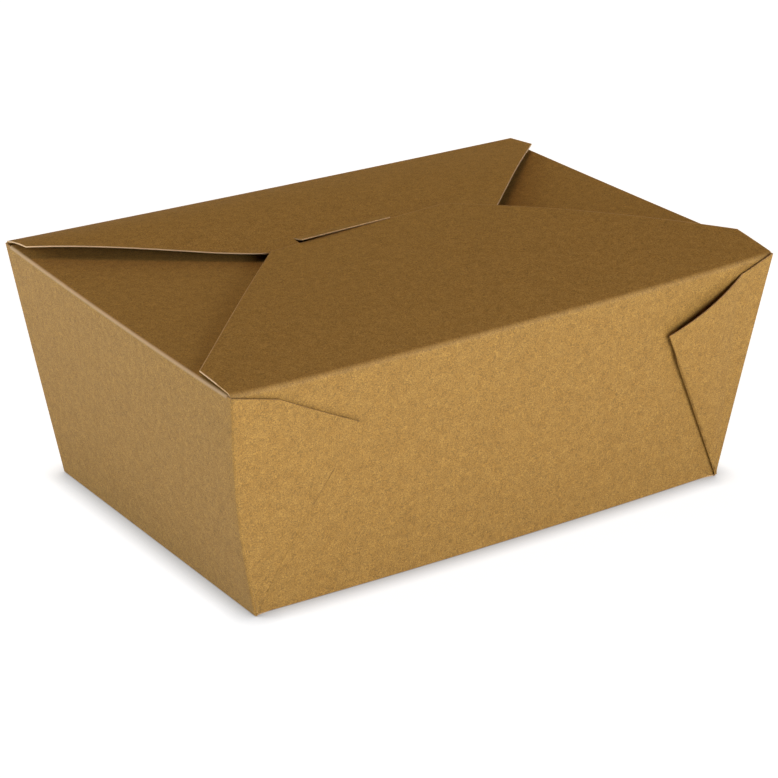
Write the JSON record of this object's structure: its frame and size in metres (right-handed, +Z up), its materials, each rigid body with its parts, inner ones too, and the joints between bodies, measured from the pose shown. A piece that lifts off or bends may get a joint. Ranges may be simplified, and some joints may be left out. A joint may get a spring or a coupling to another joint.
{
  "type": "takeaway box",
  "caption": "Kraft paperboard takeaway box with leaning walls, doubled corner gussets and folded top flaps locked by a tucked tongue.",
  "frame": {"origin": "middle of the base's underside, on the table", "axes": "+X along the long walls, +Z up, -Y towards the front flap's hinge"},
  "size_m": [0.2212, 0.1624, 0.0918],
  "materials": {
    "kraft_board": "uncoated matt kraft board"
  },
  "bodies": {
    "carton": {"carton": "kraft_board"},
    "front_flap": {"front_flap": "kraft_board"}
  },
  "joints": [
    {"name": "front_flap_hinge", "type": "hinge", "parent": "carton", "child": "front_flap", "pos_m": [0, -0.07996, 0.08737], "axis": [1, 0, 0], "range_deg": [0, 180]}
  ]
}
